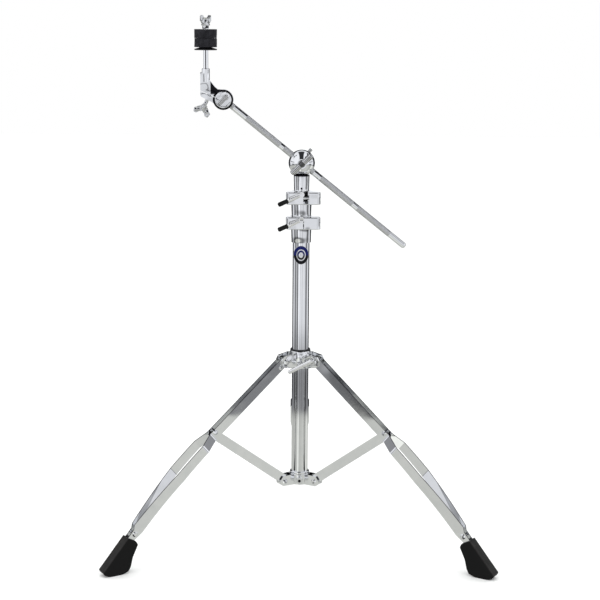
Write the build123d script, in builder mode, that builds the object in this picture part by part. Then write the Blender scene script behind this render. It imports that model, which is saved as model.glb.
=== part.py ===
from build123d import *
from math import asin, atan2, cos, degrees, radians, sin
import os

os.makedirs("parts", exist_ok=True)

# Cymbal boom stand at its lowest setting, in millimetres, +Z up, standing on Z = 0.
# Looking along +Y, the boom arm rises to the left and one leg points straight away.
# The column stands off the middle, because two legs point forwards and one backwards.
COLUMN_Y = -89.4
FIT = 0.05  # radial clearance of a running fit
GAP = 0.3  # clearance between parts that pass each other
PRESS = 0.02  # a tube's clearance in a part that is fixed to it

# Column tubes
BASE_R = 14.3
BASE_WALL = 1.4
BASE_BOTTOM = 104.0
BASE_TOP = 556.0
MID_R = 11.1
MID_WALL = 1.2
MID_BOTTOM = 210.0
TOP_R = 9.5
TOP_WALL = 1.5
TOP_BOTTOM = 270.0
TOP_TUBE_END = 633.0

# Height clamps: a tapered skirt, a block with a slot, and a cam lever in front
CLAMP_HEIGHT = 20.6
BASE_SKIRT = 24.0
MID_SKIRT = 21.1
SKIRT_TOP_R = 17.2
SKIRT_BOTTOM_R = 16.4
BASE_CLAMP_Z = 552.4
MID_CLAMP_Z = 594.4
SLEEVE_WALL = 2.1
BLOCK_LEFT = -26.0
BLOCK_RIGHT = 32.0
BLOCK_FRONT = -23.0
BLOCK_BACK = -3.0
RING_R = 20.0
SLOT_LEFT = 3.0
BASE_SLOT = 1.6
MID_SLOT = 10.0
CLAMP_BOLT_R = 2.5
LEVER_X = 0.5
LEVER_Z = 17.8
LEVER_SLOPE = 24.5
LEVER_REACH = 22.5
LEVER_GRIP = 21.0
LEVER_GRIP_R = 3.9
LEVER_CORE_R = 2.2
LEVER_BOSS_R = 4.4
LEVER_BOSS = 7.0
LEVER_PIN_R = 1.75
LEVER_PIN_HEAD_R = 3.0
LEVER_PIN_DEPTH = 5.0
LEVER_KNUCKLE_R = 4.3
LEVER_Y = BLOCK_FRONT - LEVER_KNUCKLE_R - GAP

# Folding legs: two links of one length, hung at one radius, keep the upper hub on the column
LEG_AZIMUTHS = {"left": 210.0, "right": 330.0, "back": 90.0}
PIVOT_R = 33.0
UPPER_PIVOT_Z = 325.0
LOWER_PIVOT_Z = 111.5
ELBOW_R = 167.0
ELBOW_Z = (UPPER_PIVOT_Z + LOWER_PIVOT_Z) / 2
PIN_R = 2.5
RIVET_HEAD_R = 4.6
RIVET_HEAD = 1.8

# Leg strips: a straight upper run, an outward bend past the elbow, and a run that closes again
STRIP_TOP_Z = 326.0
STRIP_SLOPE = 39.9
STRIP_HALF = 7.9
STRIP_THICK = 2.0
STRIP_STRAIGHT = 190.0
STRIP_UPPER_R = 1108.0
STRIP_LOWER_R = 872.0
STRIP_SHOULDER = 374.0
STRIP_TONGUE = [(380.0, -12.5), (408.0, -17.5), (408.0, -26.0)]
NARROW = 6.0
SPREAD = 16.5
CLOSED = 5.0
BEND_START = 180.0
BEND_END = 205.0
SPREAD_END = 265.0
CLOSED_START = 374.0
FOOT_RIVET = (384.0, -19.8)

# Braces: folded channels between the leg strips
BRACE_HALF_WIDTH = 4.7
BRACE_HALF_HEIGHT = 8.0
BRACE_WALL = 1.5
BRACE_LOW = (PIVOT_R, 114.5)
BRACE_HIGH = (ELBOW_R, 214.0)

# Hubs
HUB_R = 17.6
HUB_SLEEVE_R = 15.4
UPPER_HUB_BOTTOM = 311.0
UPPER_HUB_TOP = 341.0
LOWER_HUB_BOTTOM = 103.5
LOWER_HUB_TOP = 122.0
PLATE = 3.0

# Ball tilter and boom arm
BALL_Z = 662.6
BALL_R = 22.2
SOCKET_BOTTOM = 615.6
SOCKET_TOP = 643.0
SOCKET_TOP_R = 13.4
SOCKET_BOTTOM_R = 12.7
BALL_SPLIT = 9.6
ARM_R = 5.25
ARM_SLOPE = 38.7
ARM_UP = 167.5
ARM_DOWN = 226.0
ARM_TAIL = 191.0
ARM_TAIL_R = 5.1

# Cymbal tilter at the upper end of the arm
DRUM_R = 13.85
DRUM_X = -ARM_UP * cos(radians(ARM_SLOPE))
DRUM_Z = BALL_Z + ARM_UP * sin(radians(ARM_SLOPE))
RING_OUT = 16.75
RING_FRONT = -16.0
RING_BACK = -5.8
ROD_X = DRUM_X - 28.8
ROD_Y = (RING_FRONT + RING_BACK) / 2
ROD_R = 4.0
SEAT_Z = 848.0
SEAT_RIM = 1.8
SEAT_TOP = 852.8
SEAT_TOP_R = 9.0
FELT_HEIGHT = 14.6
FELT_R = 19.0
ROD_TOP = 899.0


def level(height):
    """A horizontal plane on the column's axis."""
    return Plane(origin=(0, COLUMN_Y, height))


def facing(x, y, z):
    """A plane seen from the front: local X to the right, local Y up, normal towards the front."""
    return Plane(origin=(x, COLUMN_Y + y, z), x_dir=(1, 0, 0), z_dir=(0, -1, 0))


def leg_plane(azimuth, offset=0.0):
    """The upright plane of one leg: local X outwards, local Y up."""
    turn = radians(azimuth)
    outward = Vector(cos(turn), sin(turn), 0)
    side = Vector(sin(turn), -cos(turn), 0)
    origin = Vector(0, COLUMN_Y, 0) + side * offset
    return Plane(origin=origin, x_dir=outward, z_dir=side)


def strip_planes(azimuth):
    """Planes along a leg: one facing its flat side, one facing its narrow edge."""
    leg = leg_plane(azimuth)
    slope = radians(STRIP_SLOPE)
    origin = leg.from_local_coords(Vector(PIVOT_R, STRIP_TOP_Z, 0))
    along = leg.x_dir * cos(slope) - leg.y_dir * sin(slope)
    flat = Plane(origin=origin, x_dir=along, z_dir=leg.z_dir)
    edge = Plane(origin=origin, x_dir=along, z_dir=along.cross(leg.z_dir))
    return flat, edge


def save(builder, label):
    builder.part.label = label
    export_step(builder.part, f"parts/{label}.step")


# Column


def make_base_tube():
    with BuildPart() as base_tube:
        with BuildSketch(level(BASE_BOTTOM)):
            Circle(BASE_R)
            Circle(BASE_R - BASE_WALL, mode=Mode.SUBTRACT)
        extrude(amount=BASE_TOP - BASE_BOTTOM)
    save(base_tube, "base_tube")


def make_inner_tube(label, radius, wall, bottom, top):
    with BuildPart() as tube:
        with BuildSketch(level(bottom)):
            Circle(radius)
            Circle(radius - wall, mode=Mode.SUBTRACT)
        extrude(amount=top - bottom)
    save(tube, label)


def make_badge():
    badge_z = 508.0
    badge_half_height = 16.0
    badge_half_width = 12.9
    badge_thick = 0.7
    with BuildPart() as badge:
        with BuildSketch(facing(0, 0, badge_z)):
            Ellipse(badge_half_width, badge_half_height)
        extrude(amount=BASE_R + badge_thick)
        with BuildSketch(level(badge_z)):
            Circle(BASE_R + badge_thick)
            Circle(BASE_R, mode=Mode.SUBTRACT)
        extrude(amount=badge_half_height, both=True, mode=Mode.INTERSECT)
    save(badge, "badge")


# Height clamps


def make_clamp(prefix, bottom, skirt, slot, outer_tube_r, inner_tube_r):
    """The cast collar on the top of one tube, which grips the next tube inside it."""
    sleeve_r = inner_tube_r + FIT + SLEEVE_WALL
    tube_end = bottom + 3.6
    bolt_y = BLOCK_FRONT + 6.5
    bolt_z = bottom + CLAMP_HEIGHT / 2
    across = Plane(origin=(BLOCK_LEFT, COLUMN_Y + bolt_y, bolt_z), x_dir=(0, 1, 0), z_dir=(1, 0, 0))
    head = 2.6
    head_r = 4.4
    with BuildPart() as body:
        with BuildSketch(level(bottom)):
            Circle(RING_R)
            with Locations(((BLOCK_LEFT + BLOCK_RIGHT) / 2, (BLOCK_FRONT + BLOCK_BACK) / 2)):
                RectangleRounded(BLOCK_RIGHT - BLOCK_LEFT, BLOCK_BACK - BLOCK_FRONT, 6.0)
        extrude(amount=CLAMP_HEIGHT)
        fillet(body.edges().group_by(Axis.Z)[-1], 1.6)
        fillet(body.edges().group_by(Axis.Z)[0], 1.2)
        with BuildSketch(facing(LEVER_X, BLOCK_FRONT + LEVER_PIN_DEPTH, bottom + LEVER_Z)):
            Circle(LEVER_PIN_R)
        extrude(amount=LEVER_PIN_DEPTH, mode=Mode.SUBTRACT)
        with BuildSketch(level(bottom - skirt)):
            Circle(SKIRT_BOTTOM_R)
        with BuildSketch(level(bottom + 1)):
            Circle(SKIRT_TOP_R)
        loft()
        with BuildSketch(level(bottom - skirt)):
            Circle(outer_tube_r + PRESS)
        extrude(amount=tube_end - bottom + skirt, mode=Mode.SUBTRACT)
        with BuildSketch(level(bottom)):
            Circle(sleeve_r + PRESS)
        extrude(amount=CLAMP_HEIGHT, mode=Mode.SUBTRACT)
        slot_middle = SLOT_LEFT + slot / 2
        with BuildSketch(Plane(origin=(slot_middle, COLUMN_Y + BLOCK_FRONT / 2 - 4, bottom + 1.5))):
            Rectangle(slot, -BLOCK_FRONT)
        extrude(amount=CLAMP_HEIGHT, mode=Mode.SUBTRACT)
        with BuildSketch(across):
            Circle(CLAMP_BOLT_R)
        extrude(amount=BLOCK_RIGHT - BLOCK_LEFT, mode=Mode.SUBTRACT)
        with BuildSketch(across.offset(BLOCK_RIGHT - BLOCK_LEFT - head)):
            Circle(head_r)
        extrude(amount=head, mode=Mode.SUBTRACT)
    save(body, f"{prefix}_clamp_body")

    with BuildPart() as sleeve:
        with BuildSketch(level(tube_end)):
            Circle(sleeve_r)
            Circle(inner_tube_r + FIT, mode=Mode.SUBTRACT)
        extrude(amount=bottom + CLAMP_HEIGHT - 0.8 - tube_end)
    save(sleeve, f"{prefix}_clamp_sleeve")

    with BuildPart() as bolt:
        with BuildSketch(across):
            Circle(CLAMP_BOLT_R)
        extrude(amount=BLOCK_RIGHT - BLOCK_LEFT)
        with BuildSketch(across.offset(BLOCK_RIGHT - BLOCK_LEFT - head)):
            Circle(head_r)
        extrude(amount=head)
        with BuildSketch(across.offset(BLOCK_RIGHT - BLOCK_LEFT - head / 2)):
            RegularPolygon(2.2, 6)
        extrude(amount=head, mode=Mode.SUBTRACT)
    save(bolt, f"{prefix}_clamp_bolt")

    make_lever(prefix, bottom)


def make_lever(prefix, bottom):
    """The lever in front of the slot, hanging down to the left, with a rubber grip."""
    slope = radians(LEVER_SLOPE)
    along = Vector(-cos(slope), 0, -sin(slope))
    pivot = Vector(LEVER_X, COLUMN_Y + LEVER_Y, bottom + LEVER_Z)
    knuckle = pivot + along * LEVER_REACH
    tip = knuckle + along * LEVER_GRIP
    core_length = LEVER_GRIP - 3
    boss_back = facing(LEVER_X, BLOCK_FRONT - GAP, bottom + LEVER_Z)
    boss = GAP + LEVER_BOSS
    core_turn = degrees(asin(LEVER_CORE_R / LEVER_KNUCKLE_R))
    with BuildPart() as lever:
        with BuildSketch(Plane(origin=knuckle, x_dir=along, z_dir=along.cross(Vector(0, 1, 0)))):
            with BuildLine():
                ball = CenterArc((0, 0), LEVER_KNUCKLE_R, core_turn, 180 - core_turn)
                Polyline(ball @ 0, (core_length, LEVER_CORE_R), (core_length, 0), ball @ 1)
            make_face()
        revolve(axis=Axis(knuckle, along))
        with BuildSketch(Plane(origin=pivot, x_dir=(0, 1, 0), z_dir=along)):
            Ellipse(2.6, 2.9)
        with BuildSketch(Plane(origin=knuckle - along * 0.5, x_dir=(0, 1, 0), z_dir=along)):
            Ellipse(3.3, 3.9)
        loft()
        with BuildSketch(boss_back):
            Circle(LEVER_BOSS_R)
        extrude(amount=LEVER_BOSS)
        with BuildSketch(boss_back):
            Circle(LEVER_PIN_R + FIT)
        extrude(amount=LEVER_BOSS, mode=Mode.SUBTRACT)
    save(lever, f"{prefix}_clamp_lever")

    with BuildPart() as grip:
        with BuildSketch(Plane(origin=knuckle, x_dir=(0, 1, 0), z_dir=along)):
            Circle(LEVER_GRIP_R - 0.3)
        with BuildSketch(Plane(origin=tip, x_dir=(0, 1, 0), z_dir=along)):
            Circle(LEVER_GRIP_R)
        loft()
        fillet(grip.edges().sort_by(Axis.X)[0], 3.0)
        add(lever.part, mode=Mode.SUBTRACT)
    save(grip, f"{prefix}_clamp_grip")

    with BuildPart() as pin:
        with BuildSketch(facing(LEVER_X, BLOCK_FRONT + LEVER_PIN_DEPTH, bottom + LEVER_Z)):
            Circle(LEVER_PIN_R)
        extrude(amount=LEVER_PIN_DEPTH + boss + GAP)
        with BuildSketch(facing(LEVER_X, BLOCK_FRONT - boss - GAP, bottom + LEVER_Z)):
            Circle(LEVER_PIN_HEAD_R)
        extrude(amount=1.2)
    save(pin, f"{prefix}_clamp_pin")


# Hubs


def make_hub(label, bottom, top, pivot_z, outline, fork_half, bore, screw_z, screw_r):
    """A barrel with a fork for each leg, and a boss in front for a screw."""
    boss_r = 6.0
    boss_reach = 24.0
    with BuildPart() as hub:
        with BuildSketch(level(bottom)):
            Circle(HUB_R)
        extrude(amount=top - bottom)
        fillet(hub.edges().filter_by(GeomType.CIRCLE), 1.2)
        for azimuth in LEG_AZIMUTHS.values():
            for side in (1, -1):
                with BuildSketch(leg_plane(azimuth, side * (fork_half + PLATE / 2))) as plate:
                    with BuildLine():
                        Polyline(*outline, close=True)
                    make_face()
                    fillet(plate.vertices().sort_by(Axis.X)[2:], 2.5)
                extrude(amount=PLATE / 2, both=True)
        with BuildSketch(facing(0, 0, screw_z)):
            Circle(boss_r)
        extrude(amount=boss_reach)
        with BuildSketch(level(bottom)):
            Circle(bore)
        extrude(amount=top - bottom, mode=Mode.SUBTRACT)
        with BuildSketch(facing(0, 0, screw_z)):
            Circle(screw_r + FIT)
        extrude(amount=boss_reach + 1, mode=Mode.SUBTRACT)
        for azimuth in LEG_AZIMUTHS.values():
            with BuildSketch(leg_plane(azimuth)):
                with Locations((PIVOT_R, pivot_z)):
                    Circle(PIN_R)
            extrude(amount=fork_half + PLATE + 1, both=True, mode=Mode.SUBTRACT)
    save(hub, label)


def make_pins(label, places):
    """Rivets across the legs, each with a domed head at both ends."""
    with BuildPart() as pins:
        for azimuth, radius, height, half_length in places:
            with BuildSketch(leg_plane(azimuth)):
                with Locations((radius, height)):
                    Circle(PIN_R)
            extrude(amount=half_length + 0.2, both=True)
            for side in (1, -1):
                with BuildSketch(leg_plane(azimuth, side * half_length)):
                    with Locations((radius, height)):
                        Circle(RIVET_HEAD_R)
                with BuildSketch(leg_plane(azimuth, side * (half_length + RIVET_HEAD))):
                    with Locations((radius, height)):
                        Circle(RIVET_HEAD_R * 0.6)
                loft()
    save(pins, label)


def make_upper_hub():
    outline = [(10, 311), (34, 314.5), (40, 318), (42, 328), (38, 334.5), (19, 338.3), (10, 338.3)]
    fork_half = NARROW + STRIP_THICK / 2 + GAP
    screw_z = 319.5
    make_hub("upper_hub", UPPER_HUB_BOTTOM, UPPER_HUB_TOP, UPPER_PIVOT_Z, outline, fork_half,
             HUB_SLEEVE_R, screw_z, 3.0)
    reach = fork_half + PLATE
    places = [(azimuth, PIVOT_R, UPPER_PIVOT_Z, reach) for azimuth in LEG_AZIMUTHS.values()]
    make_pins("upper_hub_rivets", places)

    with BuildPart() as sleeve:
        with BuildSketch(level(UPPER_HUB_BOTTOM)):
            Circle(HUB_SLEEVE_R)
        extrude(amount=UPPER_HUB_TOP - UPPER_HUB_BOTTOM)
        with BuildSketch(level(UPPER_HUB_TOP)):
            Circle(HUB_R - 0.4)
        extrude(amount=2.4)
        fillet(sleeve.edges().group_by(Axis.Z)[-1], 0.8)
        with BuildSketch(level(UPPER_HUB_BOTTOM)):
            Circle(BASE_R + FIT)
        extrude(amount=UPPER_HUB_TOP - UPPER_HUB_BOTTOM + 4, mode=Mode.SUBTRACT)
        with BuildSketch(facing(0, 0, screw_z)):
            Circle(3.0 + FIT)
        extrude(amount=HUB_R, mode=Mode.SUBTRACT)
    save(sleeve, "upper_hub_sleeve")
    make_t_handle("upper_hub_wing_screw", 0, screw_z, BASE_R + 0.4, 36.0, 27.5, 46.0, 3.4, 3.0, 0)


def make_lower_hub():
    outline = [(10, 103.5), (36, 103.5), (41, 106.5), (42, 114), (37, 121), (19, 122), (10, 122)]
    fork_half = BRACE_HALF_WIDTH + GAP
    screw_z = 112.5
    make_hub("lower_hub", LOWER_HUB_BOTTOM, LOWER_HUB_TOP, LOWER_PIVOT_Z, outline, fork_half,
             BASE_R + PRESS, screw_z, 2.5)
    reach = fork_half + PLATE
    places = [(azimuth, PIVOT_R, LOWER_PIVOT_Z, reach) for azimuth in LEG_AZIMUTHS.values()]
    make_pins("lower_hub_rivets", places)

    with BuildPart() as collar:
        with BuildSketch(level(LOWER_HUB_TOP)):
            Circle(HUB_R - 0.8)
        extrude(amount=4.0)
        fillet(collar.edges().group_by(Axis.Z)[-1], 1.2)
        with BuildSketch(level(LOWER_HUB_TOP)):
            Circle(BASE_R + PRESS)
        extrude(amount=4.0, mode=Mode.SUBTRACT)
    save(collar, "lower_hub_collar")

    with BuildPart() as screw:
        with BuildSketch(facing(0, -BASE_R, screw_z)):
            Circle(2.5)
        extrude(amount=8.6)
        with BuildSketch(facing(0, -BASE_R - 5.0, screw_z)):
            RegularPolygon(1.5, 6)
        extrude(amount=4.0, mode=Mode.SUBTRACT)
    save(screw, "lower_hub_set_screw")


def make_t_handle(label, x, z, tip, bar_front, bar_angle, bar_length, bar_r, shank_r, ribs):
    """A hand screw from the front: a shank, a boss and a cross bar with ribbed ends."""
    turn = radians(bar_angle)
    along = Vector(cos(turn), 0, sin(turn))
    middle = Vector(x, COLUMN_Y - bar_front, z)
    rib_width = 1.3
    with BuildPart() as handle:
        with BuildSketch(facing(x, -tip, z)):
            Circle(shank_r)
        extrude(amount=bar_front - tip)
        with BuildSketch(facing(x, -bar_front + bar_r + 2.4, z)):
            Circle(bar_r + 1.8)
        with BuildSketch(facing(x, -bar_front, z)):
            Circle(bar_r + 0.6)
        loft()
        with BuildSketch(Plane(origin=middle, x_dir=(0, 1, 0), z_dir=along)):
            Circle(bar_r)
        extrude(amount=bar_length / 2, both=True)
        fillet(handle.edges().filter_by(GeomType.CIRCLE).sort_by(Axis.X)[0], bar_r * 0.6)
        fillet(handle.edges().filter_by(GeomType.CIRCLE).sort_by(Axis.X)[-1], bar_r * 0.6)
        for side in (1, -1):
            for rib in range(ribs):
                place = side * (bar_length / 2 - 4.0 - rib * 2.6)
                with BuildSketch(Plane(origin=middle + along * place, x_dir=(0, 1, 0), z_dir=along)):
                    Circle(bar_r + 0.8)
                extrude(amount=rib_width / 2, both=True)
    save(handle, label)


# Legs


def strip_outline():
    """The flat shape of a leg strip: straight, then curved down, with a tongue for the boot."""
    run = STRIP_SHOULDER - STRIP_STRAIGHT
    with BuildLine() as outline:
        upper = Line((0, STRIP_HALF), (STRIP_STRAIGHT, STRIP_HALF))
        lower = Line((0, -STRIP_HALF), (STRIP_STRAIGHT, -STRIP_HALF))
        upper_curve = JernArc(upper @ 1, (1, 0), STRIP_UPPER_R, -degrees(asin(run / STRIP_UPPER_R)))
        lower_curve = JernArc(lower @ 1, (1, 0), STRIP_LOWER_R, -degrees(asin(run / STRIP_LOWER_R)))
        Polyline(upper_curve @ 1, *STRIP_TONGUE, lower_curve @ 1)
        ThreePointArc(upper @ 0, (-STRIP_HALF, 0), lower @ 0)
    return outline


def local_point(azimuth, radius, height):
    """A point of the leg's plane in the coordinates of its strips."""
    flat, _ = strip_planes(azimuth)
    point = flat.to_local_coords(leg_plane(azimuth).from_local_coords(Vector(radius, height, 0)))
    return (point.X, point.Y)


def make_strip(azimuth, side):
    flat, edge = strip_planes(azimuth)
    sheet = [
        (-12, side * NARROW),
        (BEND_START, side * NARROW),
        (BEND_END, side * SPREAD),
        (SPREAD_END, side * SPREAD),
        (CLOSED_START, side * CLOSED),
        (STRIP_TONGUE[-1][0] + 10, side * CLOSED),
    ]
    with BuildPart() as strip:
        with BuildSketch(flat):
            with BuildLine():
                add(strip_outline().line)
            make_face()
            with Locations(
                local_point(azimuth, PIVOT_R, UPPER_PIVOT_Z),
                local_point(azimuth, ELBOW_R, ELBOW_Z),
            ):
                Circle(PIN_R + FIT, mode=Mode.SUBTRACT)
            with Locations(FOOT_RIVET):
                Circle(PIN_R, mode=Mode.SUBTRACT)
        extrude(amount=SPREAD + 10, both=True)
        with BuildSketch(edge):
            with BuildLine():
                FilletPolyline(*sheet, radius=9.0)
            trace(line_width=STRIP_THICK)
        extrude(amount=80, both=True, mode=Mode.INTERSECT)
    return strip


def make_leg(name, azimuth):
    """Two bent strips, the elbow and foot rivets, and the rubber boot they stand in."""
    front = make_strip(azimuth, 1)
    save(front, f"{name}_leg_strip_a")
    rear = make_strip(azimuth, -1)
    save(rear, f"{name}_leg_strip_b")

    flat, _ = strip_planes(azimuth)
    at = leg_plane(azimuth).to_local_coords(flat.from_local_coords(Vector(*FOOT_RIVET, 0)))
    places = [
        (azimuth, ELBOW_R, ELBOW_Z, NARROW + STRIP_THICK / 2),
        (azimuth, at.X, at.Y, CLOSED + STRIP_THICK / 2),
    ]
    make_pins(f"{name}_leg_rivets", places)

    boot_half = 9.5
    boot = [(329.5, 61), (374, 9), (370, 3.5), (362, 0), (341, 0), (329, 4), (325, 11),
            (321, 27), (311.5, 47), (314.5, 53)]
    with BuildPart() as foot:
        with BuildSketch(leg_plane(azimuth)) as outline:
            with BuildLine():
                Polyline(*boot, close=True)
            make_face()
            fillet(outline.vertices().filter_by_position(Axis.Y, 0.1, 60), 3.0)
        extrude(amount=boot_half, both=True)
        add(front.part, mode=Mode.SUBTRACT)
        add(rear.part, mode=Mode.SUBTRACT)
    save(foot, f"{name}_foot")


def make_brace(name, azimuth):
    """A channel, open underneath, from the lower hub to the elbow of a leg."""
    low = Vector(*BRACE_LOW)
    high = Vector(*BRACE_HIGH)
    rise = degrees(atan2(high.Y - low.Y, high.X - low.X))
    length = (high - low).length
    middle = (low + high) * 0.5
    with BuildPart() as brace:
        with BuildSketch(leg_plane(azimuth)):
            with Locations(Location((middle.X, middle.Y, 0), (0, 0, rise))):
                SlotCenterToCenter(length, 2 * BRACE_HALF_HEIGHT)
        extrude(amount=BRACE_HALF_WIDTH, both=True)
        with BuildSketch(leg_plane(azimuth)):
            with Locations(Location((middle.X, middle.Y, 0), (0, 0, rise)) * Location((0, -BRACE_WALL, 0))):
                Rectangle(length + 40, 2 * BRACE_HALF_HEIGHT)
        extrude(amount=BRACE_HALF_WIDTH - BRACE_WALL, both=True, mode=Mode.SUBTRACT)
        with BuildSketch(leg_plane(azimuth)):
            with Locations((PIVOT_R, LOWER_PIVOT_Z), (ELBOW_R, ELBOW_Z)):
                Circle(PIN_R + FIT)
        extrude(amount=BRACE_HALF_WIDTH + 1, both=True, mode=Mode.SUBTRACT)
    save(brace, f"{name}_brace")


# Ball tilter and boom arm


def arm_plane(distance):
    """A plane across the boom arm, at a distance from the ball towards the free end."""
    slope = radians(ARM_SLOPE)
    along = Vector(cos(slope), 0, -sin(slope))
    origin = Vector(0, COLUMN_Y, BALL_Z) + along * distance
    return Plane(origin=origin, x_dir=(0, 1, 0), z_dir=along)


def make_ball_tilter():
    """The rear cap stands on the column, and the ball in front of it turns with the arm."""
    center = Vector(0, COLUMN_Y, BALL_Z)
    nut_face = 19.5
    eye_r = 9.0
    eye_half = 4.0
    shank_r = 3.5
    with BuildPart(mode=Mode.PRIVATE) as cap:
        with Locations(center):
            Sphere(BALL_R)
        with BuildSketch(level(SOCKET_TOP - 12)):
            with Locations((0, BALL_SPLIT)):
                RectangleRounded(17, 16, 4)
        extrude(amount=22)
        with BuildSketch(facing(0, BALL_SPLIT + GAP, BALL_Z)):
            Rectangle(80, 80)
        extrude(amount=60, mode=Mode.SUBTRACT)
        with BuildSketch(facing(0, nut_face + 20, BALL_Z)):
            Circle(7.5)
        extrude(amount=20, mode=Mode.SUBTRACT)

    with BuildPart() as base:
        with BuildSketch(level(SOCKET_BOTTOM)):
            Circle(SOCKET_BOTTOM_R)
        with BuildSketch(level(SOCKET_TOP)):
            Circle(SOCKET_TOP_R)
        loft()
        with Locations(center):
            Sphere(BALL_R + GAP, mode=Mode.SUBTRACT)
        add(cap.part)
        with BuildSketch(level(SOCKET_BOTTOM)):
            Circle(TOP_R + PRESS)
        extrude(amount=TOP_TUBE_END - SOCKET_BOTTOM, mode=Mode.SUBTRACT)
        with BuildSketch(facing(0, BALL_R, BALL_Z)):
            Circle(shank_r + FIT)
        extrude(amount=BALL_R, mode=Mode.SUBTRACT)
        with BuildSketch(facing(0, 0, SOCKET_BOTTOM + 5)):
            Circle(1.8)
        extrude(amount=SOCKET_TOP_R, mode=Mode.SUBTRACT)
    save(base, "tilter_base")

    with BuildPart() as set_screw:
        with BuildSketch(facing(0, -TOP_R, SOCKET_BOTTOM + 5)):
            Circle(1.8)
        extrude(amount=3.0)
    save(set_screw, "tilter_set_screw")

    with BuildPart() as eye_bolt:
        with BuildSketch(arm_plane(0)):
            Circle(eye_r)
        extrude(amount=eye_half, both=True)
        with BuildSketch(facing(0, nut_face + 7, BALL_Z)):
            Circle(shank_r)
        extrude(amount=nut_face + 7)
        with BuildSketch(arm_plane(0)):
            Circle(ARM_R + FIT)
        extrude(amount=40, both=True, mode=Mode.SUBTRACT)
        with BuildSketch(facing(0, 0, BALL_Z)):
            Circle(3.0 + FIT)
        extrude(amount=20, mode=Mode.SUBTRACT)
    save(eye_bolt, "ball_eye_bolt")

    bar_turn = radians(53)
    bar_along = Vector(cos(bar_turn), 0, sin(bar_turn))
    bar_middle = Vector(0, COLUMN_Y + nut_face + 4.6, BALL_Z)
    with BuildPart() as nut:
        with BuildSketch(facing(0, nut_face + 7.4, BALL_Z)):
            Circle(6.6)
        extrude(amount=7.2)
        with BuildSketch(Plane(origin=bar_middle, x_dir=(0, 1, 0), z_dir=bar_along)):
            Ellipse(2.4, 3.0)
        extrude(amount=26.5, both=True)
        fillet(nut.edges().sort_by(Axis.X)[-1], 1.4)
        fillet(nut.edges().sort_by(Axis.X)[0], 1.4)
        with BuildSketch(facing(0, nut_face + 8, BALL_Z)):
            Circle(shank_r)
        extrude(amount=10, mode=Mode.SUBTRACT)
    save(nut, "ball_wing_nut")

    with BuildPart() as ball:
        with BuildSketch(Plane(origin=center)):
            with BuildLine():
                rim = CenterArc((0, 0), BALL_R, -90, 90 + degrees(asin(BALL_SPLIT / BALL_R)))
                Polyline(rim @ 1, (0, BALL_SPLIT), rim @ 0)
            make_face()
        revolve(axis=Axis(center, (0, 1, 0)))
        with BuildSketch(facing(0, -BALL_R + 1.5, BALL_Z)):
            Circle(8.0)
        extrude(amount=6.5, mode=Mode.SUBTRACT)
        with BuildSketch(arm_plane(0)):
            Circle(ARM_R + FIT)
        extrude(amount=40, both=True, mode=Mode.SUBTRACT)
        with BuildSketch(arm_plane(0)):
            Circle(eye_r)
        extrude(amount=eye_half, both=True, mode=Mode.SUBTRACT)
        with BuildSketch(facing(0, BALL_R, BALL_Z)):
            Circle(shank_r)
        extrude(amount=BALL_R, mode=Mode.SUBTRACT)
        with BuildSketch(facing(0, 0, BALL_Z)):
            Circle(3.0 + FIT)
        extrude(amount=BALL_R + 1, mode=Mode.SUBTRACT)
    save(ball, "ball_shell")
    make_t_handle("ball_hand_screw", 0, BALL_Z, ARM_R + 0.35, 30.0, 42.0, 46.0, 4.4, 3.0, 3)


def make_boom_arm():
    with BuildPart() as arm:
        with BuildSketch(arm_plane(-ARM_UP + 9)):
            Circle(ARM_R)
        extrude(amount=ARM_UP - 9 + ARM_TAIL)
        with BuildSketch(arm_plane(ARM_TAIL)):
            Circle(ARM_TAIL_R)
        extrude(amount=ARM_DOWN - ARM_TAIL)
        fillet(arm.edges().sort_by(Axis.X)[-1], 4.4)
    save(arm, "boom_arm")

    with BuildPart() as drum:
        with BuildSketch(facing(DRUM_X, 7.0, DRUM_Z)):
            Circle(15.5)
        extrude(amount=12.5)
        fillet(drum.edges().group_by(Axis.Y)[-1], 2.0)
        with BuildSketch(facing(DRUM_X, -5.5, DRUM_Z)):
            Circle(DRUM_R)
        extrude(amount=11.5)
        fillet(drum.edges().group_by(Axis.Y)[0], 1.2)
        with BuildSketch(arm_plane(-ARM_UP + 9)):
            Circle(ARM_R)
        extrude(amount=ARM_UP, mode=Mode.SUBTRACT)
    save(drum, "tilter_drum")

    bar_length = 21.0
    bar_height = 7.2
    with BuildPart() as bar:
        with BuildSketch(facing(DRUM_X, -17.0, DRUM_Z)):
            with Locations(Location((0, 0, 0), (0, 0, 45))):
                SlotOverall(bar_length, bar_height)
        extrude(amount=4.0)
        fillet(bar.edges().group_by(Axis.Y)[0], 1.6)
    save(bar, "tilter_drum_bar")


# Cymbal tilter


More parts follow.
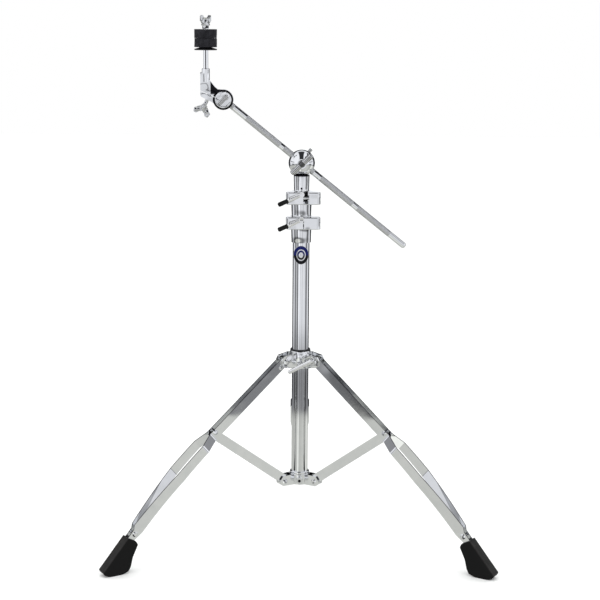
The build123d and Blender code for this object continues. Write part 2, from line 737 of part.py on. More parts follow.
def make_rod_clamp():
    """A split ring around the drum, drawn out into the socket of the cymbal rod."""
    depth = RING_BACK - RING_FRONT
    socket_r = 6.6
    socket_top = 818.5
    left = ROD_X - 8.9
    seam_left = (left - 2, DRUM_Z + 15.2)
    seam_right = (DRUM_X - 12.0, DRUM_Z + 3.2)
    outline = [
        (left, 812.0),
        (ROD_X, 812.0),
        (ROD_X + socket_r, 799.0),
        (DRUM_X - 14.5, 789.0),
        (DRUM_X - 9.0, DRUM_Z + 17.0),
        (DRUM_X - 1.0, DRUM_Z + 16.6),
        (DRUM_X, DRUM_Z),
        (DRUM_X - 15.5, DRUM_Z - 6.0),
        (DRUM_X - 19.0, 763.6),
        (ROD_X + 2.5, 767.0),
        (left + 1.5, 772.0),
        (left, 774.5),
    ]
    with BuildPart() as clamp:
        with BuildSketch(facing(0, RING_BACK, 0)) as front_shape:
            with BuildLine():
                Polyline(*outline, close=True)
            make_face()
            with Locations((DRUM_X, DRUM_Z)):
                Circle(RING_OUT)
        extrude(amount=depth)
        with BuildSketch(Plane(origin=(ROD_X, COLUMN_Y + ROD_Y, 796.0))):
            Circle(socket_r)
        extrude(amount=socket_top - 796.0)
        fillet(clamp.edges().group_by(Axis.Z)[-1], 1.6)
        with BuildSketch(facing(DRUM_X, 0, DRUM_Z)):
            Circle(DRUM_R + FIT)
        extrude(amount=40, mode=Mode.SUBTRACT)
        with BuildSketch(facing(0, 0, 0)):
            with BuildLine():
                Line(seam_left, seam_right)
            trace(line_width=1.2)
        extrude(amount=40, mode=Mode.SUBTRACT)
        with BuildSketch(Plane(origin=(ROD_X, COLUMN_Y + ROD_Y, 797.0))):
            Circle(ROD_R)
        extrude(amount=40, mode=Mode.SUBTRACT)
        with BuildSketch(wing_bolt_plane(0)):
            Circle(3.0 + FIT)
        extrude(amount=-22, mode=Mode.SUBTRACT)
    save(clamp, "cymbal_rod_clamp")


def wing_bolt_plane(distance):
    """A plane across the wing bolt, at a distance below the clamp."""
    down = Vector(-0.42, 0, -0.907)
    origin = Vector(ROD_X + 1.8, COLUMN_Y + ROD_Y, 766.5) + down * distance
    return Plane(origin=origin, x_dir=(0, 1, 0), z_dir=down)


def make_wings(outline, frame, thick):
    """Two mirrored wings in a frame: local Y along the screw, towards the wing tips."""
    with BuildSketch(frame) as wings:
        for side in (1, -1):
            with BuildLine():
                Polyline(*[(side * x, y) for x, y in outline], close=True)
            make_face()
        fillet(wings.vertices().sort_by(Axis.Y)[-4:], 1.6)
    extrude(wings.sketch, amount=thick / 2, both=True)


def make_wing_bolt():
    """The wing bolt under the clamp, which closes the ring on the drum."""
    start = wing_bolt_plane(0)
    down = start.z_dir
    across = Vector(-down.Z, 0, down.X)
    frame = Plane(origin=wing_bolt_plane(11).origin, x_dir=across, z_dir=across.cross(down))
    wings = [(2.0, 1.0), (6.0, 0.5), (14.4, 8.5), (13.0, 15.0), (8.0, 15.6), (4.0, 10.5), (2.0, 10.5)]
    with BuildPart() as bolt:
        with BuildSketch(wing_bolt_plane(-20)):
            Circle(3.0)
        extrude(amount=36)
        with BuildSketch(wing_bolt_plane(9)):
            Circle(5.0)
        with BuildSketch(wing_bolt_plane(20)):
            Circle(4.0)
        loft()
        make_wings(wings, frame, 3.6)
    save(bolt, "tilter_wing_bolt")


def make_cymbal_rod():
    """The rod with the cup washer, the sleeve and two felts that hold the cymbal."""
    center = (ROD_X, COLUMN_Y + ROD_Y)
    sleeve_r = 5.6
    with BuildPart() as rod:
        with BuildSketch(Plane(origin=(*center, 797.0))):
            Circle(ROD_R)
        extrude(amount=ROD_TOP - 797.0)
        chamfer(rod.edges().group_by(Axis.Z)[-1], 0.8)
    save(rod, "cymbal_rod")

    with BuildPart() as seat:
        with BuildSketch(Plane(origin=(*center, SEAT_Z))):
            Circle(FELT_R - 0.8)
        with BuildSketch(Plane(origin=(*center, SEAT_Z + SEAT_RIM))):
            Circle(FELT_R)
        loft()
        with BuildSketch(Plane(origin=(*center, SEAT_Z + SEAT_RIM))):
            Circle(FELT_R)
        with BuildSketch(Plane(origin=(*center, SEAT_TOP))):
            Circle(SEAT_TOP_R)
        loft()
        with BuildSketch(Plane(origin=(*center, SEAT_Z))):
            Circle(ROD_R + PRESS)
        extrude(amount=10, mode=Mode.SUBTRACT)
    save(seat, "cup_washer")

    with BuildPart() as sleeve:
        with BuildSketch(Plane(origin=(*center, SEAT_TOP))):
            Circle(sleeve_r)
            Circle(ROD_R + PRESS, mode=Mode.SUBTRACT)
        extrude(amount=2 * FELT_HEIGHT - 0.4)
    save(sleeve, "cymbal_sleeve")

    for label, height in (("lower_felt", SEAT_TOP), ("upper_felt", SEAT_TOP + FELT_HEIGHT + 0.1)):
        with BuildPart() as felt:
            with BuildSketch(Plane(origin=(*center, height))):
                Circle(FELT_R)
            extrude(amount=FELT_HEIGHT - 0.2)
            fillet(felt.edges().filter_by(GeomType.CIRCLE), 1.2)
            with BuildSketch(Plane(origin=(*center, height))):
                Circle(sleeve_r + 0.1)
            extrude(amount=FELT_HEIGHT, mode=Mode.SUBTRACT)
        save(felt, label)


def make_wing_nut():
    bottom = SEAT_TOP + 2 * FELT_HEIGHT + 0.6
    origin = Vector(ROD_X, COLUMN_Y + ROD_Y, bottom)
    turn = radians(35)
    frame = Plane(origin=origin, x_dir=(cos(turn), sin(turn), 0), z_dir=(sin(turn), -cos(turn), 0))
    flange = 5.4
    body_top = 18.0
    wings = [(2.0, 8.0), (6.0, 8.0), (9.4, 13.0), (9.4, 21.0), (6.4, 22.4), (3.6, body_top), (2.0, body_top)]
    with BuildPart() as nut:
        with BuildSketch(Plane(origin=origin)):
            Circle(5.4)
        extrude(amount=flange)
        with BuildSketch(Plane(origin=origin + Vector(0, 0, flange))):
            Circle(7.2)
        extrude(amount=1.8)
        with BuildSketch(Plane(origin=origin + Vector(0, 0, flange + 1.8))):
            Circle(6.2)
        with BuildSketch(Plane(origin=origin + Vector(0, 0, body_top))):
            Circle(5.3)
        loft()
        make_wings(wings, frame, 4.6)
        with BuildSketch(Plane(origin=origin)):
            Circle(ROD_R + FIT)
        extrude(amount=30, mode=Mode.SUBTRACT)
    save(nut, "cymbal_wing_nut")


make_base_tube()
make_inner_tube("middle_tube", MID_R, MID_WALL, MID_BOTTOM, MID_CLAMP_Z + 3.6)
make_inner_tube("top_tube", TOP_R, TOP_WALL, TOP_BOTTOM, TOP_TUBE_END)
make_badge()
make_clamp("base", BASE_CLAMP_Z, BASE_SKIRT, BASE_SLOT, BASE_R, MID_R)
make_clamp("middle", MID_CLAMP_Z, MID_SKIRT, MID_SLOT, MID_R, TOP_R)
make_upper_hub()
make_lower_hub()
for leg_name, leg_azimuth in LEG_AZIMUTHS.items():
    make_leg(leg_name, leg_azimuth)
    make_brace(leg_name, leg_azimuth)
make_ball_tilter()
make_boom_arm()
make_rod_clamp()
make_wing_bolt()
make_cymbal_rod()
make_wing_nut()
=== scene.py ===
import math

import bmesh
import bpy
from mathutils import Matrix, Vector, noise


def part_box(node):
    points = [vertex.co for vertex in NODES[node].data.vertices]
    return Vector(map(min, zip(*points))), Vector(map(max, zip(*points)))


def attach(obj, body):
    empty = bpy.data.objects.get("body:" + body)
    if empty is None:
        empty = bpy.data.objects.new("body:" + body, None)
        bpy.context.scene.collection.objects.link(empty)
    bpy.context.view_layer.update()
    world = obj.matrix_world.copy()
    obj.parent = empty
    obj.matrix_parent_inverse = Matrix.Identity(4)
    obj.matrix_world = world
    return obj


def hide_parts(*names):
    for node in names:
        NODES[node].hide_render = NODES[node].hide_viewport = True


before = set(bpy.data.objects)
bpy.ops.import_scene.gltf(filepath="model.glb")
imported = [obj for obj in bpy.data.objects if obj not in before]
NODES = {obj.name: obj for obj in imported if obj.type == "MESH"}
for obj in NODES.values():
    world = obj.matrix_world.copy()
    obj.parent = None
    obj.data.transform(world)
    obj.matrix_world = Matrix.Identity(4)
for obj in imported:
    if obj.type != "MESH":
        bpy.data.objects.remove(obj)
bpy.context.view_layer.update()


def centre(node):
    low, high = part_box(node)
    return (low + high) / 2


COLUMN = centre("base_tube")
COLUMN.z = 0.0
BALL = centre("ball_shell")
BALL.y = COLUMN.y
BALL.x = COLUMN.x
BADGE = centre("badge")
DRUM = centre("tilter_drum")
ARM_SLOPE = math.radians(38.7)
HAND_SCREW_SLOPE = math.radians(46.0)

# Sizes of the painted details, in metres.
RING_EDGE = (0.0172, 0.0176)
NECK_SIDE = (-0.0215, -0.0205)
NECK_FOOT = (0.008, 0.010)
# Where the painted shadow line lies, in the gap between the ball and its socket.
GAP_SHADOW_BOTTOM = (-0.0222, -0.0218)
GAP_SHADOW_TOP = (-0.0190, -0.0186)
GAP_SHADOW_INSIDE = (0.0108, 0.0111)
BOSS_EDGE = (0.0036, 0.0042)
BAR_RIB_PITCH = 0.0024
KNURL_PITCH = 0.0016
KNURL_STARTS = 24.0
POLISHED_BANDS = (
    (-0.1460, -0.1190), (-0.0470, -0.0390), (0.0260, 0.0410), (0.1100, 0.1210), (0.1910, 0.30))
TOE_RADIUS, TOE_HEIGHT = 0.374, 0.009
TOE_SLOPE_COS, TOE_SLOPE_SIN = 0.760, 0.650
TOE_RIB_PITCH = 0.0026
BADGE_HALF_WIDTH, BADGE_HALF_HEIGHT = 0.0129, 0.0160
FELT_BORE, FELT_EDGE, FELT_SKIN = 0.00575, 0.0007, 0.0002


# ---------------------------------------------------------------- camera
def set_camera():
    pitch, roll = math.radians(11.0), math.radians(0.43)
    aside, away, height = -0.0012, -2.4, 0.8945
    data = bpy.data.cameras.new("camera")
    data.lens, data.sensor_width = 85.8, 36.0
    data.clip_start, data.clip_end = 0.05, 60.0
    data.dof.use_dof = False
    camera = bpy.data.objects.new("camera", data)
    bpy.context.scene.collection.objects.link(camera)
    right = Vector((1, 0, 0))
    up = Vector((0, math.sin(pitch), math.cos(pitch)))
    back = right.cross(up)
    across = right * math.cos(roll) + up * math.sin(roll)
    above = up * math.cos(roll) - right * math.sin(roll)
    turn = Matrix((across, above, back)).transposed().to_4x4()
    place = Vector((COLUMN.x + aside, COLUMN.y + away, height))
    camera.matrix_world = Matrix.Translation(place) @ turn
    bpy.context.scene.camera = camera


# ---------------------------------------------------------------- node graphs
class Graph:
    """Short forms for building a shader tree."""

    def __init__(self, tree):
        self.tree = tree
        self.tree.nodes.clear()

    def add(self, kind, inputs=None, **settings):
        node = self.tree.nodes.new(kind)
        for key, value in settings.items():
            setattr(node, key, value)
        for key, value in (inputs or {}).items():
            self.put(node.inputs[key], value)
        return node

    def put(self, socket, value):
        if isinstance(value, bpy.types.NodeSocket):
            self.tree.links.new(value, socket)
        else:
            socket.default_value = value

    def math(self, operation, a, b=0.0, c=0.0):
        node = self.add("ShaderNodeMath", operation=operation)
        for socket, value in zip(node.inputs, (a, b, c)):
            self.put(socket, value)
        return node.outputs[0]

    def vector(self, operation, a, b):
        node = self.add("ShaderNodeVectorMath", operation=operation)
        self.put(node.inputs[0], a)
        self.put(node.inputs[1], b)
        return node.outputs["Value" if operation == "DOT_PRODUCT" else "Vector"]

    def position(self):
        return self.add("ShaderNodeTexCoord").outputs["Object"]

    def xyz(self, vector):
        return self.add("ShaderNodeSeparateXYZ", {"Vector": vector}).outputs

    def length(self, a, b):
        return self.math("SQRT", self.math("MULTIPLY_ADD", a, a, self.math("MULTIPLY", b, b)))

    def noise(self, vector, scale, detail=3.0, rough=0.5, distortion=0.0):
        node = self.add("ShaderNodeTexNoise", {"Vector": vector, "Scale": scale, "Detail": detail,
                                               "Roughness": rough, "Distortion": distortion})
        return node.outputs["Fac"]

    def fit(self, value, low, high, new_low, new_high):
        node = self.add("ShaderNodeMapRange", {"Value": value, "From Min": low, "From Max": high,
                                               "To Min": new_low, "To Max": new_high})
        return node.outputs["Result"]

    def ramp(self, value, stops, interpolation="LINEAR"):
        node = self.add("ShaderNodeValToRGB", {"Fac": value})
        ramp = node.color_ramp
        ramp.interpolation = interpolation
        while len(ramp.elements) > 1:
            ramp.elements.remove(ramp.elements[0])
        for index, (place, colour) in enumerate(stops):
            element = ramp.elements[0] if index == 0 else ramp.elements.new(place)
            element.position = place
            element.color = (*colour, 1.0) if len(colour) == 3 else colour
        return node.outputs["Color"]

    def mix(self, factor, a, b):
        node = self.add("ShaderNodeMix", data_type="RGBA")
        self.put(node.inputs[0], factor)
        for socket, value in ((node.inputs[6], a), (node.inputs[7], b)):
            self.put(socket, value if isinstance(value, bpy.types.NodeSocket) else (*value, 1.0))
        return node.outputs[2]

    def bump(self, height, strength, distance, normal=None):
        node = self.add("ShaderNodeBump", {"Height": height, "Strength": strength, "Distance": distance})
        if normal is not None:
            self.put(node.inputs["Normal"], normal)
        return node.outputs["Normal"]


def material(name, colour, rough, metallic=0.0, **sockets):
    made = bpy.data.materials.new(name)
    made.use_nodes = True
    graph = Graph(made.node_tree)
    shader = graph.add("ShaderNodeBsdfPrincipled")
    output = graph.add("ShaderNodeOutputMaterial")
    graph.tree.links.new(shader.outputs["BSDF"], output.inputs["Surface"])
    shader.inputs["Base Color"].default_value = (*colour, 1.0)
    shader.inputs["Roughness"].default_value = rough
    shader.inputs["Metallic"].default_value = metallic
    for key, value in sockets.items():
        shader.inputs[key.replace("_", " ")].default_value = value
    return made, graph, shader


def stretched(graph, position, scale):
    node = graph.add("ShaderNodeMapping", {"Vector": position, "Scale": scale})
    return node.outputs["Vector"]


def chrome(name, wave_scale, wave, fine_stretch, rough=(0.045, 0.11), shade=None, bright=1.0):
    """Plated steel: faint waves in the plate, fine polishing lines and a few smudges.

    shade gives the parts painted near-black instead: a painted dark reflection on the rod clamp and a
    painted shadow line under the ball. bright scales the plate's tone.
    """
    made, graph, shader = material(name, (0.79, 0.80, 0.81), 0.07, 1.0)
    position = graph.position()
    smudge = graph.noise(position, 38.0, 4.0, 0.6, 0.4)
    fine = graph.noise(stretched(graph, position, fine_stretch), 900.0, 2.0, 0.5)
    mixed = graph.math("MULTIPLY_ADD", fine, 0.35, graph.math("MULTIPLY", smudge, 0.65))
    graph.put(shader.inputs["Roughness"], graph.fit(mixed, 0.35, 0.65, *rough))
    waves = graph.bump(graph.noise(position, wave_scale, 0.0), 0.3, wave)
    graph.put(shader.inputs["Normal"], graph.bump(fine, 0.05, 0.00006, waves))
    tone = graph.fit(smudge, 0.3, 0.7, 0.0, 1.0)
    dull, clean = (tuple(bright * v for v in c) for c in ((0.76, 0.77, 0.78), (0.83, 0.835, 0.84)))
    plate = graph.mix(tone, dull, clean)
    # Painted shade: where the shade mask says, the plate is painted near-black, standing in for a dark
    # reflection and a shadow.
    if shade:
        plate = graph.mix(shade(graph), plate, (0.012, 0.012, 0.014))
    graph.put(shader.inputs["Base Color"], plate)
    return made


def satin(name, low, high, ribs=False):
    """Brushed plated steel, as on the levers; ribs run across the hand screw's bar, with painted shade in
    their troughs.
    """
    made, graph, shader = material(name, high, 0.22, 1.0)
    position = graph.position()
    brushed = graph.noise(stretched(graph, position, (1.0, 1.0, 0.2)), 1100.0, 3.0, 0.55)
    normal = graph.bump(brushed, 0.25, 0.00008)
    if ribs:
        offset = graph.vector("SUBTRACT", position, tuple(BALL))
        bar = (math.cos(HAND_SCREW_SLOPE), 0.0, math.sin(HAND_SCREW_SLOPE))
        along = graph.vector("DOT_PRODUCT", offset, bar)
        ridge = graph.math("SINE", graph.math("MULTIPLY", along, 2 * math.pi / BAR_RIB_PITCH))
        ends = graph.fit(graph.math("ABSOLUTE", along), *BOSS_EDGE, 0.0, 1.0)
        normal = graph.bump(graph.math("MULTIPLY", ridge, ends), 0.3, 0.0003, normal)
        # Painted shade: the rib troughs are painted dark; the bar's middle, by the boss, is darker still.
        ribs_with_painted_shade = graph.mix(graph.fit(ridge, -0.6, 0.2, 0.0, 1.0), (0.14, 0.14, 0.14), high)
        colour = graph.mix(ends, (0.10, 0.10, 0.10), ribs_with_painted_shade)
    else:
        wear = graph.noise(position, 150.0, 4.0, 0.6, 0.5)
        colour = graph.mix(graph.fit(wear, 0.35, 0.65, 0.0, 1.0), low, high)
    graph.put(shader.inputs["Base Color"], colour)
    graph.put(shader.inputs["Roughness"], graph.fit(brushed, 0.3, 0.7, 0.14, 0.30))
    graph.put(shader.inputs["Normal"], normal)
    return made


def painted_dark_reflection(graph):
    """A painted dark reflection: a near-black ring round the tilter drum and the dark neck above it."""
    x, y, z = graph.xyz(graph.vector("SUBTRACT", graph.position(), tuple(DRUM)))
    ring = graph.fit(graph.length(x, z), *RING_EDGE, 1.0, 0.0)
    above = graph.fit(z, *NECK_FOOT, 0.0, 1.0)
    neck = graph.math("MULTIPLY", graph.fit(x, *NECK_SIDE, 0.0, 1.0), above)
    return graph.math("MAXIMUM", ring, neck)


def painted_gap_shadow(graph):
    """A painted shadow: a thin black line in the gap between the ball and its socket."""
    x, y, z = graph.xyz(graph.vector("SUBTRACT", graph.position(), tuple(BALL)))
    below_top = graph.fit(z, *GAP_SHADOW_TOP, 1.0, 0.0)
    band = graph.math("MULTIPLY", graph.fit(z, *GAP_SHADOW_BOTTOM, 0.0, 1.0), below_top)
    return graph.math("MULTIPLY", band, graph.fit(graph.length(x, y), *GAP_SHADOW_INSIDE, 0.0, 1.0))


def knurled():
    """The boom arm: a fine diamond knurl with polished stretches between."""
    made, graph, shader = material("knurled_steel_fine", (0.6, 0.6, 0.6), 0.3, 1.0)
    position = graph.vector("SUBTRACT", graph.position(), tuple(BALL))
    along_dir = (math.cos(ARM_SLOPE), 0.0, -math.sin(ARM_SLOPE))
    up_dir = (math.sin(ARM_SLOPE), 0.0, math.cos(ARM_SLOPE))
    along = graph.vector("DOT_PRODUCT", position, along_dir)
    height = graph.vector("DOT_PRODUCT", position, up_dir)
    depth = graph.vector("DOT_PRODUCT", position, (0.0, 1.0, 0.0))
    turn = graph.math("MULTIPLY", graph.math("ARCTAN2", depth, height), KNURL_STARTS)
    lead = graph.math("MULTIPLY", along, 2 * math.pi / KNURL_PITCH)
    first = graph.math("ABSOLUTE", graph.math("SINE", graph.math("ADD", lead, turn)))
    second = graph.math("ABSOLUTE", graph.math("SINE", graph.math("SUBTRACT", lead, turn)))
    diamonds = graph.math("MINIMUM", first, second)
    bare = 0.0
    for low, high in POLISHED_BANDS:
        before = graph.math("LESS_THAN", along, high)
        inside = graph.math("MULTIPLY", graph.math("GREATER_THAN", along, low), before)
        bare = graph.math("MAXIMUM", inside, bare)
    knurl = graph.math("SUBTRACT", 1.0, bare)
    cut = graph.math("MULTIPLY", diamonds, knurl)
    graph.put(shader.inputs["Normal"], graph.bump(cut, 0.4, 0.00016))
    grime = graph.noise(graph.position(), 160.0, 3.0, 0.6)
    rough = graph.math("MULTIPLY_ADD", grime, 0.10, graph.math("MULTIPLY_ADD", knurl, 0.34, 0.02))
    graph.put(shader.inputs["Roughness"], rough)
    # Painted shade: the knurl's grooves are painted darker than its crests.
    tone = graph.math("MULTIPLY", knurl, graph.fit(diamonds, 0.0, 0.6, 1.0, 0.25))
    graph.put(shader.inputs["Base Color"], graph.mix(tone, (0.82, 0.83, 0.84), (0.34, 0.34, 0.34)))
    return made


def rubber_foot():
    """Moulded black rubber, with fine ribs on the sloping toe; the toe is painted lighter, with a mottle, as
    painted light on its lit face.
    """
    made, graph, shader = material("black_rubber_foot", (0.012, 0.012, 0.012), 0.55,
                                   Specular_IOR_Level=0.16)
    position = graph.vector("SUBTRACT", graph.position(), tuple(COLUMN))
    x, y, z = graph.xyz(position)
    out = graph.math("SUBTRACT", graph.length(x, y), TOE_RADIUS)
    up = graph.math("SUBTRACT", z, TOE_HEIGHT)
    away = graph.math("MULTIPLY_ADD", out, TOE_SLOPE_COS, graph.math("MULTIPLY", up, TOE_SLOPE_SIN))
    run = graph.math("MULTIPLY_ADD", out, -TOE_SLOPE_SIN, graph.math("MULTIPLY", up, TOE_SLOPE_COS))
    toe = graph.math("GREATER_THAN", away, -0.0014)
    ribs = graph.math("SINE", graph.math("MULTIPLY", run, 2 * math.pi / TOE_RIB_PITCH))
    grain = graph.noise(graph.position(), 900.0, 4.0, 0.6)
    pits = graph.math("MULTIPLY", grain, 0.35)
    height = graph.math("MULTIPLY_ADD", graph.math("MULTIPLY", ribs, toe), 0.5, pits)
    graph.put(shader.inputs["Normal"], graph.bump(height, 0.6, 0.0004))
    # Painted light: the sloping toe is painted lighter, with a noisy mottle, for the light falling on it.
    painted_light_on_toe = graph.math("MULTIPLY", toe, graph.fit(graph.noise(graph.position(), 70.0), 0.3, 0.7, 0.55, 1.0))
    graph.put(shader.inputs["Base Color"], graph.mix(painted_light_on_toe, (0.003, 0.003, 0.003), (0.024, 0.023, 0.022)))
    graph.put(shader.inputs["Roughness"], graph.fit(grain, 0.3, 0.7, 0.42, 0.62))
    return made


def moulded(name, colour, rough, grain_scale, grain_depth):
    """Black rubber or plastic with a fine mould grain and worn, lighter patches."""
    made, graph, shader = material(name, colour, rough, Specular_IOR_Level=0.22)
    grain = graph.noise(graph.position(), grain_scale, 3.0, 0.55)
    graph.put(shader.inputs["Normal"], graph.bump(grain, 0.4, grain_depth))
    graph.put(shader.inputs["Roughness"], graph.fit(grain, 0.3, 0.7, rough - 0.08, rough + 0.08))
    wear = graph.fit(graph.noise(graph.position(), 120.0, 4.0, 0.6), 0.35, 0.75, 0.0, 1.0)
    lighter = tuple(min(1.0, c * 1.9 + 0.002) for c in colour)
    graph.put(shader.inputs["Base Color"], graph.mix(wear, colour, lighter))
    return made


def badge_paint():
    """Rings round the middle of the badge: dark blue above, black below, bright rims and disc."""
    made, graph, shader = material("badge_enamel", (0.1, 0.1, 0.2), 0.2, 0.0,
                                   Specular_IOR_Level=0.12)
    x, y, z = graph.xyz(graph.vector("SUBTRACT", graph.position(), tuple(BADGE)))
    across = graph.math("DIVIDE", x, BADGE_HALF_WIDTH)
    above = graph.math("DIVIDE", z, BADGE_HALF_HEIGHT)
    ring = graph.length(across, above)
    silver, navy, black = (0.75, 0.76, 0.78), (0.004, 0.007, 0.075), (0.004, 0.004, 0.006)
    shade = graph.mix(graph.math("GREATER_THAN", z, -0.001), black, navy)
    bright, dark = (1, 1, 1), (0, 0, 0)
    band = graph.ramp(ring, [(0.0, bright), (0.30, dark), (0.50, bright), (0.61, dark),
                             (0.97, bright)], "CONSTANT")
    graph.put(shader.inputs["Base Color"], graph.mix(band, shade, silver))
    graph.put(shader.inputs["Metallic"], band)
    speck = graph.noise(graph.position(), 1500.0, 2.0)
    graph.put(shader.inputs["Roughness"], graph.fit(speck, 0.3, 0.7, 0.16, 0.3))
    graph.put(shader.inputs["Normal"], graph.bump(band, 0.35, 0.0003))
    return made


def felt_cloth():
    """Charcoal wool felt: fine fibres, loose clumps and a weak sheen."""
    made, graph, shader = material("charcoal_felt", (0.03, 0.03, 0.033), 0.95, Sheen_Weight=0.05,
                                   Sheen_Roughness=0.5, Specular_IOR_Level=0.15)
    shader.inputs["Sheen Tint"].default_value = (0.55, 0.55, 0.6, 1.0)
    position = graph.position()
    fibre = graph.noise(stretched(graph, position, (1.0, 1.0, 3.0)), 620.0, 6.0, 0.75, 1.6)
    clump = graph.noise(position, 170.0, 4.0, 0.6, 0.8)
    height = graph.math("MULTIPLY_ADD", fibre, 0.7, graph.math("MULTIPLY", clump, 0.5))
    graph.put(shader.inputs["Normal"], graph.bump(height, 0.9, 0.0009))
    blend = graph.math("MULTIPLY_ADD", fibre, 0.6, graph.math("MULTIPLY", clump, 0.4))
    tone = graph.fit(blend, 0.38, 0.62, 0.0, 1.0)
    graph.put(shader.inputs["Base Color"], graph.mix(tone, (0.003, 0.003, 0.004), (0.026, 0.026, 0.031)))
    return made


# ---------------------------------------------------------------- pieces
def new_piece(name, mesh, body, paint):
    piece = bpy.data.objects.new(name, mesh)
    bpy.context.scene.collection.objects.link(piece)
    mesh.materials.clear()
    mesh.materials.append(paint)
    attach(piece, body)
    return piece


def felt(node, paint, seed):
    """A pressed felt ring: soft rounded edges and an uneven, fuzzy skin."""
    low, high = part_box(node)
    middle = (low + high) / 2
    outer, half = (high.x - low.x) / 2 - FELT_SKIN, (high.z - low.z) / 2
    face_steps, edge_steps, side_steps, around = 4, 6, 6, 120
    profile = []
    for step in range(face_steps + 1):
        profile.append((FELT_BORE + (outer - FELT_EDGE - FELT_BORE) * step / face_steps, -half))
    for step in range(1, edge_steps + 1):
        turn = math.pi / 2 * step / edge_steps
        out, up = FELT_EDGE * math.sin(turn), FELT_EDGE * (1 - math.cos(turn))
        profile.append((outer - FELT_EDGE + out, -half + up))
    lower = list(profile)
    for step in range(1, side_steps + 1):
        profile.append((outer, -half + FELT_EDGE + 2 * (half - FELT_EDGE) * step / side_steps))
    profile += [(r, -z) for r, z in reversed(lower)]
    mesh = bpy.data.meshes.new(node + "_soft")
    build = bmesh.new()
    rings = []
    for index in range(around):
        turn = 2 * math.pi * index / around
        ring = []
        for r, z in profile:
            spot = Vector((r * math.cos(turn), r * math.sin(turn), z))
            wobble = noise.noise(spot * 110 + Vector((seed, 0, 0))) * 0.00035
            wobble += noise.noise(spot * 520 + Vector((0, seed, 0))) * 0.00022
            share = min(1.0, (r - FELT_BORE) / (outer - FELT_BORE) * 1.2)
            skin = r + (wobble - 0.0003) * share
            place = middle + Vector((skin * math.cos(turn), skin * math.sin(turn), z))
            ring.append(build.verts.new(place))
        rings.append(ring)
    for index in range(around):
        here, there = rings[index], rings[(index + 1) % around]
        for row in range(len(profile)):
            after = (row + 1) % len(profile)
            build.faces.new((here[row], there[row], there[after], here[after]))
    bmesh.ops.recalc_face_normals(build, faces=build.faces)
    build.to_mesh(mesh)
    build.free()
    for face in mesh.polygons:
        face.use_smooth = True
    piece = new_piece(node + "_soft", mesh, "rod_clamp", paint)
    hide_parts(node)


# ---------------------------------------------------------------- paint the frame
PAINTS = {
    "tube": chrome("chrome_tube", 14.0, 0.0006, (1.0, 1.0, 0.04), (0.02, 0.06)),
    "cast": chrome("chrome_cast", 62.0, 0.0100, (1.0, 1.0, 1.0), (0.05, 0.10)),
    "clamp": chrome("chrome_clamp", 46.0, 0.0040, (1.0, 1.0, 1.0), (0.03, 0.07), bright=0.94),
    # The wing parts' plate is toned darker: painted shade standing in for their darker reflections.
    "wing": chrome("chrome_wing", 210.0, 0.0100, (1.0, 1.0, 1.0), (0.03, 0.07), bright=0.72),
    # The rod clamp's chrome carries a painted dark reflection on the drum ring and the neck above it.
    "ring": chrome("chrome_painted_dark_reflection", 60.0, 0.0060, (1.0, 1.0, 1.0), (0.05, 0.10), painted_dark_reflection),
    # The socket's chrome carries a painted shadow line in the gap under the ball.
    "socket": chrome("chrome_socket", 42.0, 0.0050, (1.0, 1.0, 1.0), (0.05, 0.11), painted_gap_shadow),
    "bright": satin("satin_bright", (0.76, 0.76, 0.75), (0.90, 0.90, 0.89)),
    "satin": satin("satin_steel", (0.46, 0.46, 0.46), (0.72, 0.72, 0.72), True),
    "sheet": chrome("chrome_sheet", 30.0, 0.0007, (1.0, 1.0, 1.0), (0.02, 0.06)),
    "knurl": knurled(),
    "foot": rubber_foot(),
    "grip": moulded("black_rubber_grip", (0.002, 0.002, 0.002), 0.48, 1200.0, 0.0002),
    "plastic": moulded("black_plastic", (0.005, 0.005, 0.006), 0.34, 1600.0, 0.00008),
    "badge": badge_paint(),
    "felt": felt_cloth(),
}


def paint_for(node):
    """The finish of a CAD node, from its name; the more particular names come first."""
    if node.endswith("_foot"):
        return "foot"
    if node.endswith("_grip"):
        return "grip"
    if node in ("upper_hub_sleeve", "cup_washer", "cymbal_sleeve") or node.endswith("clamp_sleeve"):
        return "plastic"
    if node == "badge":
        return "badge"
    if node == "boom_arm":
        return "knurl"
    if node == "cymbal_rod_clamp":
        return "ring"
    if node == "tilter_base":
        return "socket"
    if node.endswith("_clamp_body"):
        return "clamp"
    if node in ("cymbal_wing_nut", "tilter_wing_bolt"):
        return "wing"
    if node in ("ball_hand_screw", "ball_wing_nut", "tilter_drum_bar"):
        return "satin"
    if node.endswith("_lever") or node == "upper_hub_wing_screw":
        return "bright"
    if node.endswith("_set_screw"):
        return "plastic"
    if node.endswith("_felt"):
        return "felt"
    if "_strip_" in node or node.endswith("_brace"):
        return "sheet"
    if node.endswith("_tube") or node in ("cymbal_rod", "ball_shell", "lower_hub", "lower_hub_collar"):
        return "tube"
    return "cast"


def paint_frame():
    for node, piece in NODES.items():
        piece.data.materials.clear()
        piece.data.materials.append(PAINTS[paint_for(node)])


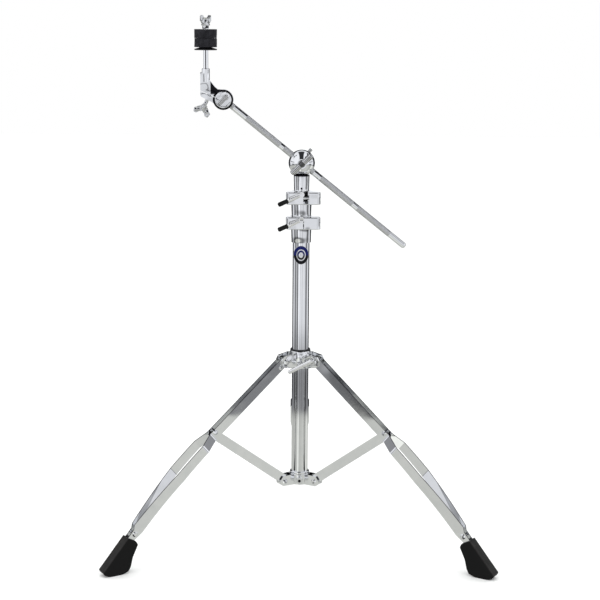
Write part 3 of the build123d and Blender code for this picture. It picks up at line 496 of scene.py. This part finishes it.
# ---------------------------------------------------------------- studio
def set_world():
    """A white studio whose reflection has dark cards, wall bands and a floor line, as chrome shows them.

    Each panorama is a list of (degrees round from the front, brightness).
    """
    world = bpy.data.worlds.new("studio")
    world.use_nodes = True
    bpy.context.scene.world = world
    graph = Graph(world.node_tree)
    direction = graph.add("ShaderNodeTexCoord").outputs["Generated"]
    x, y, z = graph.xyz(direction)
    turn = graph.math("ARCTAN2", x, graph.math("MULTIPLY", y, -1.0))
    around = graph.fit(turn, -math.pi, math.pi, 0.0, 1.0)

    def panorama(stops, tint=(0.985, 1.0, 1.045)):
        return graph.ramp(around, [((a + 180) / 360, tuple(v * t for t in tint)) for a, v in stops])

    def times(a, b):
        return graph.math("MULTIPLY", a, b)

    def either(a, b):
        return graph.math("MAXIMUM", a, b)

    def between(value, low, high, soft):
        rise = graph.fit(value, low, low + soft, 0.0, 1.0)
        return times(rise, graph.fit(value, high - soft, high, 1.0, 0.0))

    ground = panorama([
        (-180, 0.62), (-90, 0.56), (-60, 0.68), (-34, 0.62), (-29, 1.1), (-18, 1.1), (-13, 0.58), (44, 0.68),
        (60, 0.70), (86, 0.45), (96, 0.95), (112, 0.95), (120, 0.62), (180, 0.62)], (0.985, 1.0, 0.955))
    low_wall = panorama([
        (-180, 0.75), (-126, 0.80), (-98, 0.90), (-90, 0.28), (-66, 0.24), (-65, 0.84), (-59, 0.84),
        (-58, 0.33), (-50, 0.38), (-44, 0.15), (-36, 0.32), (-32, 1.2), (-17, 1.2), (-12, 0.60),
        (-4, 0.92), (10, 0.96), (15, 0.66), (30, 0.92), (46, 0.88), (58, 0.84), (65, 0.82), (67, 0.26),
        (86, 0.14), (92, 0.65), (112, 0.95), (128, 0.75), (180, 0.75)])
    high_wall = panorama([
        (-180, 0.95), (-40, 1.08), (-22, 0.90), (0, 0.80), (12, 0.76), (40, 1.0), (60, 1.08), (180, 0.95)])
    dusk = graph.fit(z, -0.240, -0.205, 0.30, 1.0)
    low_wall = graph.add("ShaderNodeVectorMath", {0: low_wall, "Scale": dusk}, operation="SCALE").outputs[0]
    wall = graph.mix(graph.fit(z, -0.100, -0.075, 0.0, 1.0), low_wall, high_wall)
    room = graph.mix(graph.fit(z, -0.272, -0.266, 0.0, 1.0), ground, wall)
    front = graph.fit(y, 0.45, 0.60, 1.0, 0.0)
    overhead = times(between(x, -0.34, 0.26, 0.05), graph.fit(z, 0.26, 0.34, 0.0, 1.0))
    rod_card = times(between(x, -0.50, 0.42, 0.06), between(z, -0.040, -0.010, 0.004))
    arm_card = times(between(x, 0.42, 0.72, 0.03), between(z, 0.48, 0.84, 0.03))
    front_cards = times(either(overhead, either(rod_card, arm_card)), front)
    beside = graph.math("GREATER_THAN", graph.math("ABSOLUTE", x), 0.93)
    elbow_card = times(times(beside, between(z, 0.03, 0.15, 0.02)), 0.72)
    rim = times(between(y, 0.50, 0.985, 0.02), between(z, -0.262, 0.62, 0.01))
    flags = either(front_cards, either(rim, elbow_card))
    card_colour, light_colour, backdrop = (0.035, 0.035, 0.04), (1.25, 1.25, 1.25), (1.0, 1.0, 1.0)
    mirrored = graph.mix(flags, room, card_colour)
    ray = graph.add("ShaderNodeLightPath").outputs
    lit = graph.mix(ray["Is Diffuse Ray"], mirrored, light_colour)
    shown = graph.mix(ray["Is Camera Ray"], lit, backdrop)
    background = graph.add("ShaderNodeBackground", {"Color": shown, "Strength": 1.0})
    output = graph.add("ShaderNodeOutputWorld")
    graph.tree.links.new(background.outputs[0], output.inputs["Surface"])


def set_floor():
    made, graph, shader = material("floor_paint", (0.86, 0.87, 0.86), 0.75, Specular_IOR_Level=0.0)
    mottle = graph.noise(graph.position(), 3.0, 2.0)
    graph.put(shader.inputs["Base Color"], graph.mix(mottle, (0.85, 0.86, 0.85), (0.88, 0.885, 0.88)))
    front, back, side = COLUMN.y - 3.0, COLUMN.y + 9.0, 6.0
    mesh = bpy.data.meshes.new("floor")
    corners = [(-side, front, 0), (side, front, 0), (side, back, 0), (-side, back, 0)]
    mesh.from_pydata(corners, [], [(0, 1, 2, 3)])
    floor = bpy.data.objects.new("floor", mesh)
    bpy.context.scene.collection.objects.link(floor)
    mesh.materials.append(made)
    floor.visible_glossy = False


def set_lights():
    for name, place, size, power in (
        ("top", (0.0, -0.2, 3.4), 4.5, 30.0),
        ("left", (-2.4, -1.6, 1.9), 1.3, 8.0),
        ("right", (2.5, -1.4, 1.7), 1.2, 5.0),
    ):
        data = bpy.data.lights.new(name, "AREA")
        data.shape, data.size, data.energy = "SQUARE", size, power
        lamp = bpy.data.objects.new(name, data)
        bpy.context.scene.collection.objects.link(lamp)
        lamp.visible_glossy = False
        lamp.location = COLUMN + Vector(place)
        aim = COLUMN + Vector((0, 0, 0.45)) - lamp.location
        lamp.rotation_euler = aim.to_track_quat("-Z", "Y").to_euler()


bpy.context.scene.view_settings.view_transform = "Standard"
set_camera()
set_world()
set_floor()
set_lights()
paint_frame()
felt("lower_felt", PAINTS["felt"], 3.0)
felt("upper_felt", PAINTS["felt"], 11.0)
